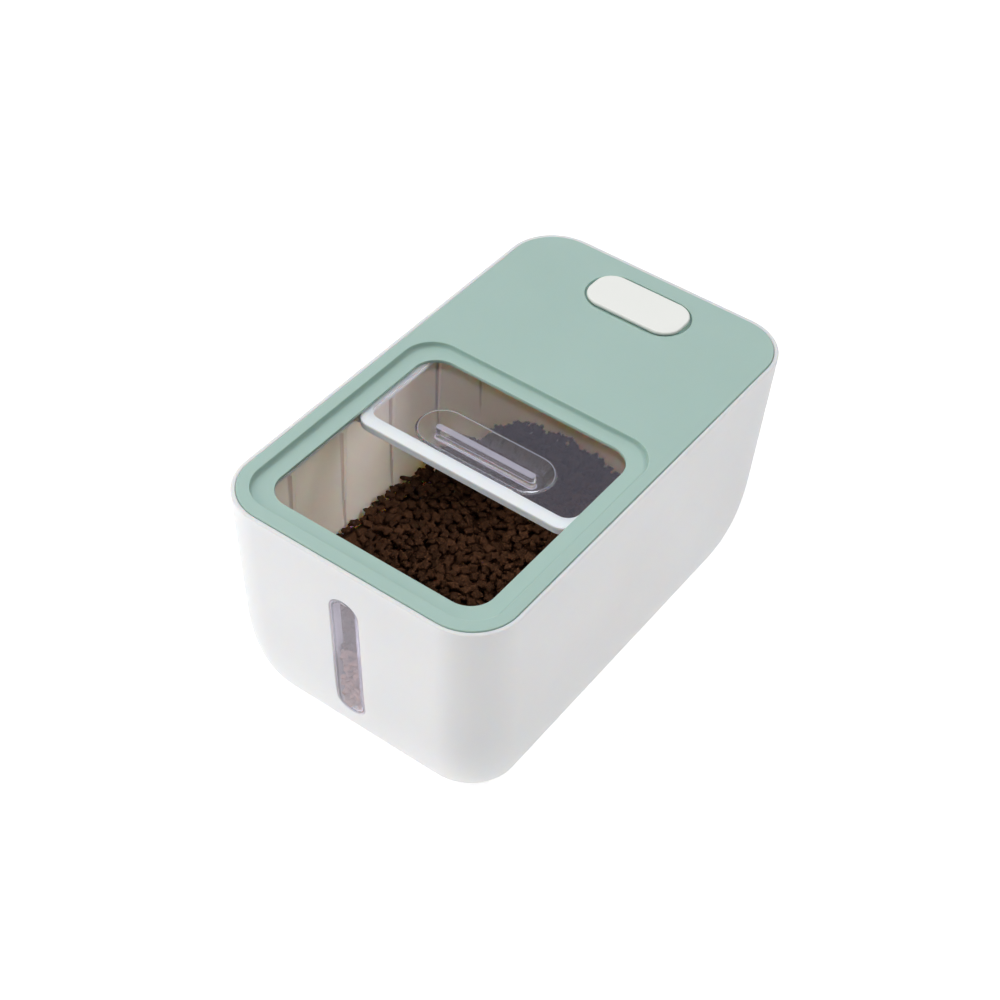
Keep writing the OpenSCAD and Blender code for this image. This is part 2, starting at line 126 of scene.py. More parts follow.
def rounded(half_x, half_y, r, centre=(0, 0), z=0.0):
    """Points of a rounded rectangle, counter-clockwise from its +X side."""
    points = []
    for quarter, (sx, sy) in enumerate(((1, 1), (-1, 1), (-1, -1), (1, -1))):
        for step in range(ARC + 1):
            turn = math.pi / 2 * (quarter + step / ARC)
            points.append((centre[0] + sx * (half_x - r) + r * math.cos(turn),
                           centre[1] + sy * (half_y - r) + r * math.sin(turn), z))
    return points


def stadium(half_l, half_w, centre=(0, 0), z=0.0):
    """Points of a stadium that is long in X."""
    return rounded(half_l, half_w, half_w - 0.01, centre, z)


def circle(r, centre, z):
    return rounded(r, r, r - 0.01, centre, z)


def fillet(r, steps=4):
    """(inset, drop) pairs of a rounded edge, from the flat on top to the side."""
    turns = [math.pi / 2 * i / steps for i in range(steps + 1)]
    return [(r * (1 - math.sin(t)), r * (1 - math.cos(t))) for t in turns]


class Shell:
    """A closed mesh built from loops of points in millimetres."""

    def __init__(self):
        self.points = []
        self.faces = []
        self.flats = []

    def loop(self, points):
        start = len(self.points)
        self.points.extend(points)
        return list(range(start, len(self.points)))

    def skin(self, outlines, closed=False):
        """Joins each outline to the next with a band of quads; closed joins the last to the first."""
        loops = [self.loop(points) for points in outlines]
        pairs = list(zip(loops, loops[1:]))
        if closed:
            pairs.append((loops[-1], loops[0]))
        for a, b in pairs:
            self.bridge(a, b)
        return loops

    def bridge(self, a, b):
        n = len(a)
        for i in range(n):
            self.faces.append((a[i], a[(i + 1) % n], b[(i + 1) % n], b[i]))

    def cap(self, loop):
        self.faces.append(tuple(loop))

    def lace(self, loop, apex):
        """Closes a loop that is a mirror image about its apex with a ladder of narrow faces."""
        n = len(loop)
        for step in range(n // 2):
            corners = [loop[(apex + i) % n] for i in (step, step + 1, -step - 1, -step)]
            self.faces.append(tuple(dict.fromkeys(corners)))

    def flat(self, *loops):
        """A flat face with holes: the first loop is its edge, the others its holes."""
        self.flats.append(loops)

    def block(self, low, high, r=0.3):
        """A small box with rounded upright edges and softened top and bottom."""
        centre = ((low[0] + high[0]) / 2, (low[1] + high[1]) / 2)
        half = ((high[0] - low[0]) / 2, (high[1] - low[1]) / 2)
        rings = [rounded(half[0] - i, half[1] - i, 2 * r, centre, low[2] + d)
                 for i, d in fillet(r, 2)]
        rings += [rounded(half[0] - i, half[1] - i, 2 * r, centre, high[2] - d)
                  for i, d in reversed(fillet(r, 2))]
        loops = self.skin(rings)
        self.cap(loops[0])
        self.cap(loops[-1])

    def mesh(self, name):
        bm = bmesh.new()
        verts = [bm.verts.new(Vector(p) * MM) for p in self.points]
        for face in self.faces:
            bm.faces.new([verts[i] for i in face])
        for loops in self.flats:
            edges = []
            for loop in loops:
                for a, b in zip(loop, loop[1:] + loop[:1]):
                    pair = (verts[a], verts[b])
                    edges.append(bm.edges.get(pair) or bm.edges.new(pair))
            bmesh.ops.triangle_fill(bm, use_beauty=True, use_dissolve=False, edges=edges)
        bmesh.ops.remove_doubles(bm, verts=bm.verts, dist=1e-6)
        bmesh.ops.recalc_face_normals(bm, faces=bm.faces)
        mesh = bpy.data.meshes.new(name)
        bm.to_mesh(mesh)
        bm.free()
        return mesh


def part_material(obj, material, chosen):
    """Gives the faces whose centre, in millimetres, is chosen a material of their own."""
    obj.data.materials.append(material)
    for polygon in obj.data.polygons:
        if chosen(polygon.center / MM):
            polygon.material_index = len(obj.data.materials) - 1


def add_object(name, mesh):
    obj = bpy.data.objects.new(name, mesh)
    bpy.context.scene.collection.objects.link(obj)
    return obj


def boolean(obj, tool, operation):
    """Cuts tool from obj, or joins it on, and removes tool."""
    change = obj.modifiers.new("change", "BOOLEAN")
    change.operation = operation
    change.solver = "EXACT"
    change.object = tool
    graph = bpy.context.evaluated_depsgraph_get()
    mesh = bpy.data.meshes.new_from_object(obj.evaluated_get(graph))
    obj.modifiers.remove(change)
    obj.data = mesh
    bpy.data.objects.remove(tool)


def smooth(obj, angle=50):
    """Smooth shading that keeps flat faces flat and edges over the angle sharp."""
    for polygon in obj.data.polygons:
        polygon.use_smooth = True
    obj.data.set_sharp_from_angle(angle=math.radians(angle))
    weighted = obj.modifiers.new("normals", "WEIGHTED_NORMAL")
    weighted.keep_sharp = True
    weighted.weight = 100
    return obj


def dress(obj, body, material, slot=None, *nodes):
    """Gives a piece its body and material, and hides the CAD nodes that it stands for; slot is not used."""
    obj.data.materials.clear()
    obj.data.materials.append(material)
    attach(obj, body)
    if nodes:
        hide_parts(*nodes)
    return obj


# ---------------------------------------------------------------- materials

class Nodes:
    """A material's node tree with short ways to add nodes and links."""

    def __init__(self, name):
        self.material = bpy.data.materials.new(name)
        self.material.use_nodes = True
        self.tree = self.material.node_tree
        self.bsdf = self.tree.nodes["Principled BSDF"]
        self.output = self.tree.nodes["Material Output"]

    def add(self, kind, **inputs):
        node = self.tree.nodes.new(kind)
        for key, value in inputs.items():
            self.put(node, key.replace("_", " "), value)
        return node

    def put(self, node, key, value):
        socket = node.inputs[int(key) if key.isdigit() else key]
        if isinstance(value, bpy.types.NodeSocket):
            self.tree.links.new(value, socket)
        else:
            socket.default_value = value

    def set(self, **inputs):
        for key, value in inputs.items():
            self.put(self.bsdf, key.replace("_", " "), value)

    def place(self):
        return self.add("ShaderNodeTexCoord").outputs["Object"]

    def noise(self, scale, detail=2.0, roughness=0.5):
        node = self.add("ShaderNodeTexNoise", Vector=self.place(), Scale=scale,
                        Detail=detail, Roughness=roughness)
        return node.outputs["Fac"]

    def spread(self, value, low, high, start=0.3, end=0.7):
        """Maps value from start..end to low..high."""
        node = self.add("ShaderNodeMapRange")
        for key, number in (("From Min", start), ("From Max", end), ("To Min", low), ("To Max", high)):
            self.put(node, key, number)
        self.put(node, "Value", value)
        return node.outputs["Result"]

    def mix(self, factor, a, b):
        node = self.tree.nodes.new("ShaderNodeMix")
        node.data_type = "RGBA"
        self.put(node, "0", factor)
        for index, colour in ((6, a), (7, b)):
            if isinstance(colour, bpy.types.NodeSocket):
                self.tree.links.new(colour, node.inputs[index])
            else:
                node.inputs[index].default_value = (*colour, 1)
        return node.outputs[2]

    def bump(self, height, strength, distance):
        node = self.add("ShaderNodeBump", Strength=strength, Distance=distance, Height=height)
        return node.outputs["Normal"]

    def scuffs(self, scale):
        """1 along thin wandering scratches and 0 elsewhere."""
        lines = self.add("ShaderNodeTexWave", Vector=self.place(), Scale=scale, Distortion=28.0,
                         Detail=3.0, Detail_Scale=1.6)
        return self.spread(lines.outputs["Fac"], 0.0, 1.0, 0.985, 1.0)


def moulded_plastic(name, colour, shade, roughness, grain=1400.0, glow=0.0):
    """Moulded plastic: a fine grain, slight clouds in colour and gloss, hairline scuffs."""
    n = Nodes(name)
    clouds = n.noise(9.0, 3.0)
    fine = n.noise(grain, 2.0)
    scuffs = n.scuffs(7.0)
    n.set(Base_Color=n.mix(n.spread(clouds, 0.0, 1.0), colour, shade))
    gloss = n.add("ShaderNodeMath", **{"0": n.spread(clouds, roughness - 0.04, roughness + 0.05),
                                       "1": n.spread(scuffs, 0.0, 0.08, 0.0, 1.0)})
    n.set(Roughness=gloss.outputs[0])
    n.set(Normal=n.bump(fine, 0.5, 0.00004))
    if glow:
        n.set(Subsurface_Weight=1.0, Subsurface_Scale=glow)
        n.bsdf.inputs["Subsurface Radius"].default_value = (1.0, 0.8, 0.62)
    return n.material


def clear_plastic(name, tint, sheen, milk=0.0, roughness=0.02, bend=1.5):
    """Clear plastic with a faint tint, fine ripples and a slightly uneven gloss."""
    n = Nodes(name)
    clouds = n.noise(14.0, 3.0)
    n.set(Base_Color=(*tint, 1), Transmission_Weight=1.0 - milk, IOR=bend)
    n.bsdf.inputs["Specular Tint"].default_value = (*sheen, 1)
    n.set(Roughness=n.spread(clouds, roughness, roughness + 0.02))
    n.set(Normal=n.bump(n.noise(45.0, 1.0), 0.1, 0.00002))
    shadow = n.add("ShaderNodeLightPath").outputs["Is Shadow Ray"]
    open_way = n.add("ShaderNodeBsdfTransparent", Color=(*tint, 1))
    lit = n.add("ShaderNodeMixShader", Fac=shadow)
    n.put(lit, "1", n.bsdf.outputs[0])
    n.put(lit, "2", open_way.outputs[0])
    n.tree.links.new(lit.outputs[0], n.output.inputs["Surface"])
    return n.material


def rubber(name, colour, roughness=0.75):
    n = Nodes(name)
    speckle = n.noise(700.0, 3.0)
    n.set(Base_Color=n.mix(n.spread(speckle, 0.0, 1.0), colour, tuple(c * 0.8 for c in colour)))
    n.set(Roughness=roughness, Normal=n.bump(speckle, 0.4, 0.0001))
    return n.material


def plated_steel(name):
    n = Nodes(name)
    streaks = n.noise(500.0, 4.0)
    n.set(Base_Color=n.mix(n.spread(streaks, 0.0, 1.0), (0.62, 0.63, 0.65), (0.5, 0.5, 0.52)))
    n.set(Metallic=1.0, Roughness=n.spread(streaks, 0.25, 0.45))
    n.set(Normal=n.bump(streaks, 0.2, 0.00003))
    return n.material


def sachet_paper(name):
    """Non-woven paper: short random fibres, softly rough."""
    n = Nodes(name)
    fibres = n.noise(1800.0, 5.0, 0.7)
    crease = n.noise(160.0, 3.0)
    n.set(Base_Color=n.mix(n.spread(fibres, 0.0, 1.0), (0.82, 0.81, 0.76), (0.68, 0.67, 0.62)))
    n.set(Roughness=0.85, Normal=n.bump(crease, 0.5, 0.0004))
    return n.material


def kibble_crumb(name, dark, light):
    """Baked kibble: each grain its own shade, with a lighter crust, crumbly, pitted and dry."""
    n = Nodes(name)
    grain = n.add("ShaderNodeNewGeometry").outputs["Random Per Island"]
    pits = n.noise(650.0, 5.0, 0.65)
    shade = n.mix(grain, dark, tuple(c * 1.8 for c in dark))
    crust = n.mix(grain, tuple(c * 0.6 for c in light), light)
    n.set(Base_Color=n.mix(n.spread(pits, 0.0, 1.0, 0.45, 0.68), shade, crust))
    n.set(Roughness=n.spread(pits, 0.6, 0.85), Normal=n.bump(pits, 1.0, 0.0012))
    n.set(Specular_IOR_Level=0.1)
    return n.material


# ---------------------------------------------------------------- bin

def curve_in(z, curve):
    """Inset of the elliptic rounding at height z above its foot."""
    height, depth = curve
    if z >= height:
        return 0.0
    return depth * (1 - math.sqrt(1 - ((height - z) / height) ** 2))


def front_wall(z):
    """Y of the front wall's outer face at height z."""
    return -(BIN_L / 2 - END_DRAFT * (1 - z / BIN_H) - curve_in(z - BASE, END_CURVE))


def groove_width_depth(z):
    share = min(1.0, max(0.0, (z - GROOVE_LOW) / (LEDGE_LOW - GROOVE_LOW)))
    width = GROOVE_FOOT[0] + (GROOVE_TOP[0] - GROOVE_FOOT[0]) * share
    depth = GROOVE_FOOT[1] + (GROOVE_TOP[1] - GROOVE_FOOT[1]) * share
    return width, depth * min(1.0, share * 12)


GROOVE_SHAPE = [(-1.2, 0), (-1.0, 0), (-0.75, 0.35), (-0.5, 0.72), (-0.2, 0.96),
                (0.2, 0.96), (0.5, 0.72), (0.75, 0.35), (1.0, 0), (1.2, 0)]


def bin_ring(z, inset, foot, place=None, grooved=False):
    """One ring of the bin's surface; place moves it to another height, grooved dents its sides."""
    lean = 1 - z / BIN_H
    side_in, end_in = curve_in(z - foot, SIDE_CURVE), curve_in(z - foot, END_CURVE)
    half_x = BIN_W / 2 - SIDE_DRAFT * lean - side_in - inset
    half_y = BIN_L / 2 - END_DRAFT * lean - end_in - inset
    r = CORNER - inset - CORNER_DROP * min(side_in, end_in)
    height = z if place is None else place
    corners = rounded(half_x, half_y, r, z=height)
    width, depth = groove_width_depth(height)
    side = []
    for y in GROOVES:
        for along, dent in GROOVE_SHAPE:
            side.append((half_x + (depth * dent if grooved else 0), y + along * width / 2, height))
    split = 2 * (ARC + 1)
    left = [(-x, y, h) for x, y, h in reversed(side)]
    return corners[:split] + left + corners[split:] + side


def curve_heights(foot, steps=16):
    return [foot + SIDE_CURVE[0] * (1 - math.cos(math.pi / 2 * i / steps)) for i in range(steps + 1)]


def on_inner_wall(point):
    return BASE + FLOOR - 0.1 < point.z < LEDGE_LOW and inside(*point, -3.0)


def in_groove_shade(point):
    """True for the front part of a groove, which is coloured darker and browner as painted shade."""
    y = min((abs(point.y - y), point.y - y) for y in GROOVES)[1]
    return on_inner_wall(point) and not inside(*point, -0.2) and abs(y) < GROOVE_TOP[0] / 2 and y < 1.5


def make_bin():
    shell = Shell()
    outside = [bin_ring(z, 0, BASE) for z in curve_heights(BASE) + [120, 160]]
    outside += [bin_ring(BIN_H - drop, inset, BASE) for inset, drop in reversed(fillet(RIM_ROUND, 5))]
    inner_round = [(RIM - i, d) for i, d in fillet(RIM_ROUND_INSIDE, 3)]
    rim = [bin_ring(BIN_H - drop, inset, BASE) for inset, drop in inner_round]
    ledge_z = LID_UNDER - FIT
    rim += [bin_ring(ledge_z, RIM, BASE), bin_ring(ledge_z, LEDGE, BASE)]
    rim += [bin_ring(ledge_z, LEDGE, BASE, place=LEDGE_LOW)]
    straight = (LEDGE_LOW - 6, LEDGE_LOW - 12, 160, 140, 120, 105)
    walls = [bin_ring(z, WALL, BASE, grooved=True) for z in straight]
    heights = [z for z in curve_heights(BASE + FLOOR) if z < 100]
    walls += [bin_ring(z, WALL, BASE + FLOOR, grooved=z > GROOVE_LOW) for z in reversed(heights)]
    loops = shell.skin(outside + rim + walls)
    shell.cap(loops[0])
    shell.cap(loops[-1])
    body = add_object("bin_shell", shell.mesh("bin_shell"))
    boolean(body, window_cutter(), "DIFFERENCE")
    return smooth(body)


# ---------------------------------------------------------------- window

def window_loop(inset, depth, steps=10):
    """A loop inset from the window's outline, at a depth behind the front wall's face."""
    r = WINDOW_W / 2 - inset
    low, high = WINDOW_LOW + WINDOW_W / 2, WINDOW_HIGH - WINDOW_W / 2
    outline = []
    for middle, start in ((high, 0.0), (low, math.pi)):
        outline += [(r * math.cos(start + math.pi * i / (2 * ARC)),
                     middle + r * math.sin(start + math.pi * i / (2 * ARC))) for i in range(2 * ARC + 1)]
        away = low if middle == high else high
        side = -1 if middle == high else 1
        outline += [(side * r, middle + (away - middle) * i / steps) for i in range(1, steps)]
    return [(x, front_wall(z) + depth, z) for x, z in outline]


def window_cutter():
    """The hole's negative: a softened mouth, a rebate for the face and a through hole."""
    rebate = WINDOW_FACE + FIT
    profile = [(-0.7, -3.0), (-0.45, -0.1), (-0.3, 0.02), (-0.12, 0.16), (0.0, 0.45),
               (0.0, rebate), (WINDOW_LIP, rebate), (WINDOW_LIP, 12.0)]
    shell = Shell()
    loops = shell.skin([window_loop(inset, depth) for inset, depth in profile])
    shell.lace(loops[0], ARC)
    shell.lace(loops[-1], ARC)
    return add_object("window_cutter", shell.mesh("window_cutter"))


def make_window():
    skirt = FIT + WINDOW_LIP
    inner = skirt + WINDOW_WALL
    crown = [11.5, 9.0, 6.0, 3.0, 1.2]
    profile = [(i, 0.0) for i in crown]
    profile += [(FIT + i, d) for i, d in fillet(0.5)]
    profile += [(FIT, WINDOW_FACE), (skirt, WINDOW_FACE), (skirt, WINDOW_SKIRT - 0.3),
                (skirt + 0.3, WINDOW_SKIRT), (inner - 0.3, WINDOW_SKIRT), (inner, WINDOW_SKIRT - 0.3),
                (inner, WINDOW_FACE + 0.6), (inner + 0.6, WINDOW_FACE)]
    profile += [(i, WINDOW_FACE) for i in (6.0, 9.0, 11.5)]
    shell = Shell()
    loops = shell.skin([window_loop(inset, depth) for inset, depth in profile])
    shell.lace(loops[0], ARC)
    shell.lace(loops[-1], ARC)
    middle = (WINDOW_LOW + WINDOW_HIGH) / 2
    for side in (-1, 1):
        for up in (-SNAP_UP, SNAP_UP):
            x = side * (WINDOW_W / 2 - skirt + 0.2)
            y = front_wall(middle + up) + SNAP_BACK
            shell.block((x - SNAP_HALF, y - SNAP_HALF, middle + up - SNAP_HALF_L),
                        (x + SNAP_HALF, y + SNAP_HALF, middle + up + SNAP_HALF_L), 0.2)
    return smooth(add_object("sight_window", shell.mesh("sight_window")), 40)


# ---------------------------------------------------------------- lid

def recess_loop(inset, z):
    """A loop inset from the recess's upper edge."""
    half_y = (RECESS_REAR - RECESS_FRONT) / 2
    middle = (RECESS_REAR + RECESS_FRONT) / 2
    return rounded(RECESS_X - inset, half_y - inset, RECESS_R - inset, (0, middle), z)


def opening_loop(grow, z):
    half_y = (OPENING_REAR - OPENING_FRONT) / 2
    middle = (OPENING_REAR + OPENING_FRONT) / 2
    return rounded(OPENING_X + grow, half_y + grow, OPENING_R + grow, (0, middle), z)


def lid_loop(inset, z):
    return rounded(LID_HIGH.x - inset, LID_HIGH.y - inset, LID_R - inset, z=z)


def pocket_loop(grow, z, length=POCKET_L, width=POCKET_W):
    return stadium(length / 2 + grow, width / 2 + grow, (0, CUP_Y), z)


def make_lid():
    shell = Shell()
    floor = LID_TOP - RECESS_DEPTH
    under = floor - RECESS_T
    # Outer edge, underside lip and skirt
    skirt_in = SKIRT_IN + SKIRT_T
    outer = [lid_loop(i, LID_TOP - d) for i, d in fillet(0.9)]
    outer += [lid_loop(0, LID_UNDER + 0.3), lid_loop(0.3, LID_UNDER), lid_loop(SKIRT_IN, LID_UNDER),
              lid_loop(SKIRT_IN, LID_LOW.z + SKIRT_FLANGE_T),
              lid_loop(SKIRT_IN - SKIRT_FLANGE_OUT, LID_LOW.z + SKIRT_FLANGE_T),
              lid_loop(SKIRT_IN - SKIRT_FLANGE_OUT, LID_LOW.z + 0.3),
              lid_loop(SKIRT_IN - SKIRT_FLANGE_OUT + 0.3, LID_LOW.z),
              lid_loop(skirt_in, LID_LOW.z), lid_loop(skirt_in, LID_UNDER)]
    outer = shell.skin(outer)
    # Recess: rounded lip, wall, hollow foot, floor, opening edge, and the underside back out
    turns = [math.pi / 2 * i / 5 for i in range(6)]
    lip = [(RECESS_LIP * math.sin(t), RECESS_LIP * (1 - math.cos(t))) for t in turns]
    foot_depth = RECESS_DEPTH - RECESS_FOOT
    hollow = [(RECESS_LIP + 0.1 + RECESS_FOOT * (1 - math.cos(t)), foot_depth + RECESS_FOOT * math.sin(t))
              for t in turns]
    tray = [recess_loop(i, LID_TOP - d) for i, d in lip + hollow]
    tray += [opening_loop(i, floor - d) for i, d in fillet(0.45, 4)]
    tray += [opening_loop(0, under + 0.3), opening_loop(0.3, under)]
    tray += [recess_loop(-0.6, under), recess_loop(-1.6, under + 0.7),
             recess_loop(-2.3, LID_UNDER - 0.8), recess_loop(-3.0, LID_UNDER)]
    tray = shell.skin(tray)
    # Pocket for the cup
    pocket_floor = LID_TOP - POCKET_DEPTH
    pocket = [pocket_loop(i, LID_TOP - d) for i, d in fillet(0.5, 3)]
    pocket += [pocket_loop(0, pocket_floor + 0.4), pocket_loop(-0.4, pocket_floor),
               pocket_loop(0.4, pocket_floor, CUP_L, CUP_W),
               pocket_loop(0.4, pocket_floor - POCKET_T, CUP_L, CUP_W),
               pocket_loop(POCKET_T, pocket_floor - POCKET_T), pocket_loop(POCKET_T, LID_UNDER)]
    pocket = shell.skin(pocket)
    shell.flat(outer[0], tray[0], pocket[0])
    shell.flat(outer[-1], tray[-1], pocket[-1])
    return smooth(add_object("lid_shell", shell.mesh("lid_shell")))


def make_bosses():
    """The eight screw bosses under the lid, round the rail screws."""
    shell = Shell()
    screws_low, screws_high = box("rail_screws")
    boss_x = screws_high.x - SCREW_HEAD_R
    boss_low = screws_low.z + BOSS_UP
    for side in (-1, 1):
        for y in SCREW_YS:
            centre = (side * boss_x, y)
            boss_high = LID_UNDER + 0.5 if y > RECESS_REAR else LID_TOP - RECESS_DEPTH - 0.6
            rings = [circle(BOSS_R, centre, z) for z in (boss_low, boss_high)]
            hole = [circle(BOSS_HOLE_R, centre, z) for z in (screws_high.z + FIT, boss_low)]
            loops = shell.skin(rings + hole)
            shell.bridge(loops[-1], loops[0])
    return smooth(add_object("screw_bosses", shell.mesh("screw_bosses")))


# ---------------------------------------------------------------- door

DOOR_MID = (FRAME_LOW.y + FRAME_HIGH.y) / 2
DOOR_HALF = (FRAME_HIGH.y - FRAME_LOW.y) / 2


def door_loop(inset, z):
    half_x, half_y, r = FRAME_HIGH.x - inset, DOOR_HALF - inset, DOOR_R - inset * 0.98
    return rounded(half_x, half_y, r, (0, DOOR_MID), z)


def clear_loop(grow, z):
    return rounded(CLEAR_X + grow, DOOR_HALF - DOOR_BAR + grow, DOOR_R - 2 + grow, (0, DOOR_MID), z)


def make_door_frame():
    """Upper half of the door's frame: an L section whose lip holds the clear panel down."""
    top, seam = FRAME_HIGH.z, FRAME_LOW.z
    panel_half_y = PANEL_HIGH.y - DOOR_MID + 0.1
    pocket = [rounded(PANEL_HIGH.x + 0.1, panel_half_y, DOOR_R - 4, (0, DOOR_MID), z)
              for z in (top - 0.95, seam)]
    rings = [door_loop(0.15, seam), door_loop(0, seam + 0.15)]
    rings += [door_loop(i, top - d) for i, d in reversed(fillet(0.7))]
    rings += [clear_loop(i, top - d) for i, d in fillet(0.35, 3)]
    rings += [clear_loop(0, top - 0.95)] + pocket
    shell = Shell()
    shell.skin(rings, closed=True)
    return smooth(add_object("door_frame_upper", shell.mesh("door_frame_upper")))


def make_door_lower():
    """Lower half of the door's frame with its side runners."""
    top, low = LOWER_HIGH.z, LOWER_LOW.z
    inset = 0.2
    rings = [door_loop(inset + 0.15, top), door_loop(inset, top - 0.15)]
    rings += [door_loop(inset + i, low + d) for i, d in reversed(fillet(0.5, 3))]
    rings += [clear_loop(grow, z) for grow, z in ((0.3, low), (0, low + 0.3), (0, top - 0.2), (0.2, top))]
    shell = Shell()
    shell.skin(rings, closed=True)
    lower = add_object("door_frame_lower", shell.mesh("door_frame_lower"))
    for side in (-1, 1):
        runner = Shell()
        xs = sorted((side * (CLEAR_X + 2), side * LOWER_HIGH.x))
        ends = DOOR_HALF - 4
        runner.block((xs[0], DOOR_MID - ends, low + 0.02), (xs[1], DOOR_MID + ends, top - 0.02), 0.4)
        boolean(lower, add_object("runner", runner.mesh("runner")), "UNION")
    return smooth(lower)


def dimple_loop(grow, z):
    middle = FRAME_LOW.y + DIMPLE_BACK
    return stadium(DIMPLE_L / 2 + grow, DIMPLE_W / 2 + grow, (0, middle), z)


def grip_loop(grow, z):
    middle = FRAME_LOW.y + DIMPLE_BACK
    return stadium(GRIP_L / 2 + grow, GRIP_T / 2 + grow, (0, middle), z)


def from_grip(point, length, width):
    """Distance of a point outside a stadium round the grip's middle, below 0 inside."""
    aside = max(0.0, abs(point.x) - (length - width) / 2)
    return math.hypot(aside, point.y - FRAME_LOW.y - DIMPLE_BACK) - width / 2


def in_dimple(point):
    return from_grip(point, DIMPLE_L, DIMPLE_W) < 2.2


def on_ridge(point):
    """True on the rounded top of the grip ridge, along its foot and on the dimple's lip, where a milky
    tinted band is painted highlight.
    """
    height = point.z - FRAME_HIGH.z
    ridge = from_grip(point, GRIP_L, GRIP_T) < 1.0 and (height > -2.6 or -12.0 < height < -11.3)
    return ridge or height > -1.5 and 0.0 < from_grip(point, DIMPLE_L, DIMPLE_W) < 0.45


def in_frame(point):
    """True for the rim of the panel that the door's frame holds."""
    return abs(point.x) > CLEAR_X + 0.5 or abs(point.y - DOOR_MID) > DOOR_HALF - DOOR_BAR + 0.5


def make_panel():
    """The clear panel: a plate, a finger dimple sunk in it and a solid grip ridge."""
    top = FRAME_HIGH.z - 1
    under = top - PANEL_T
    floor = top - DIMPLE_DEPTH
    skin = PANEL_LOW.z
    half_y = PANEL_HIGH.y - DOOR_MID
    plate = [rounded(PANEL_HIGH.x - i, half_y - i, DOOR_R - 4 - i, (0, DOOR_MID), z)
             for i, z in ((0.2, top), (0, top - 0.2), (0, under + 0.2), (0.2, under))]
    shell = Shell()
    plate = shell.skin(plate)
    slope = DIMPLE_SLOPE
    walls = [(0.5, 0.0), (0.2, 0.08), (-0.05, 0.3)]
    walls += [(-slope * 0.35, 3.5), (-slope * 0.75, 7.8)]
    walls += [(-slope * 0.86, 9.2), (-slope * 1.02, 10.3), (-slope * 1.25, 10.85), (-slope * 1.5, 11.0)]
    upper = shell.skin([dimple_loop(grow, top - drop) for grow, drop in walls])
    ridge_top = top - 0.4
    ridge = [(1.2, floor), (0.5, floor + 0.25), (0.1, floor + 1.0), (0.0, ridge_top - 0.7)]
    ridge += [(-i, ridge_top - d) for i, d in list(reversed(fillet(0.7)))[1:]]
    ridge += [(-1.8, ridge_top)]
    grip = shell.skin([grip_loop(grow, z) for grow, z in ridge])
    shell.cap(grip[-1])
    shell.flat(plate[0], upper[0])
    shell.flat(upper[-1], grip[0])
    below = [(2.1, under), (1.6, under - 0.25), (1.2, under - 0.9), (-slope * 0.7 + 1.2, top - 8.5)]
    below += [(-slope * 0.95, skin + 0.9), (-slope * 1.2, skin + 0.2), (-slope * 1.5, skin)]
    lower = shell.skin([dimple_loop(grow, z) for grow, z in below])
    shell.flat(plate[-1], lower[0])
    shell.cap(lower[-1])
    return smooth(add_object("clear_door_panel", shell.mesh("clear_door_panel")), 40)


# ---------------------------------------------------------------- drying agent

def make_cover():
    """White cover with soft edges and the plug ring that grips the cup."""
    top = COVER_HIGH.z
    low = COVER_LOW.z + PLUG_H
    half = (COVER_HIGH.x, (COVER_HIGH.y - COVER_LOW.y) / 2)
    plug = (CUP_L / 2 - PLUG_IN, CUP_W / 2 - PLUG_IN)
    edge = [(6.0, top)] + [(i, top - d) for i, d in fillet(1.3, 6)]
    edge += [(i, low + d) for i, d in reversed(fillet(1.2, 5))]
    rings = [rounded(half[0] - i, half[1] - i, COVER_R - i, (0, CUP_Y), z) for i, z in edge]
    ring = ((0, low), (0, COVER_LOW.z + 0.3), (0.3, COVER_LOW.z), (1.0, COVER_LOW.z), (1.3, low))
    rings += [stadium(plug[0] - i, plug[1] - i, (0, CUP_Y), z) for i, z in ring]
    shell = Shell()
    loops = shell.skin(rings)
    shell.cap(loops[0])
    shell.cap(loops[-1])
    return smooth(add_object("cover_cap", shell.mesh("cover_cap")), 60)


def make_sachet():
    """A small pillow of non-woven paper with crimped ends and side seams."""
    low, high = SACHET_LOW, SACHET_HIGH
    half = ((high.x - low.x) / 2 - 1, (high.y - low.y) / 2 - 0.5)
    middle_z = (low.z + high.z) / 2
    depth = (high.z - low.z) / 2
    nx, ny = 48, 24
    shell = Shell()
    rng = random.Random(5)
    waves = [(rng.uniform(0.05, 0.25), rng.uniform(0.1, 0.5), rng.uniform(0, 6)) for _ in range(8)]
    grids = []
    for side in (1, -1):
        rows = []
        for j in range(ny + 1):
            v = 2 * j / ny - 1
            row = []
            for i in range(nx + 1):
                u = 2 * i / nx - 1
                puff = max(0.0, 1 - abs(u) ** 4) * max(0.0, 1 - abs(v) ** 2.6)
                x, y = u * half[0], v * half[1]
                crease = sum(math.sin(a * x + b * y + c) for a, b, c in waves) * 0.12
                seam = 0.15 * math.sin(x * 2.2) * (abs(u) > 0.9)
                z = side * (puff ** 0.6 * (depth - 1.2) + 0.15) + crease * puff + seam
                if abs(u) == 1 or abs(v) == 1:
                    z = seam
                row.append((x, y + CUP_Y, middle_z + z))
            rows.append(shell.loop(row))
        grids.append(rows)
    for rows, flip in zip(grids, (False, True)):
        for a, b in zip(rows, rows[1:]):
            for i in range(nx):
                quad = (a[i], a[i + 1], b[i + 1], b[i])
                shell.faces.append(quad[::-1] if flip else quad)
    return smooth(add_object("sachet_pillow", shell.mesh("sachet_pillow")), 180)


# ---------------------------------------------------------------- kibble

KIBBLE_R = 4.3            # outer radius of a grain
KIBBLE_T = 3.8            # thickness of a grain
DROP = 6.2                # how closely grains settle
GRAIN_SHAPES = 14
BED_UNDER = 8.0           # the bed lies this far under the heap's surface


def ramp(value, start, end):
    share = min(1.0, max(0.0, (value - start) / (end - start)))
    return share * share * (3 - 2 * share)


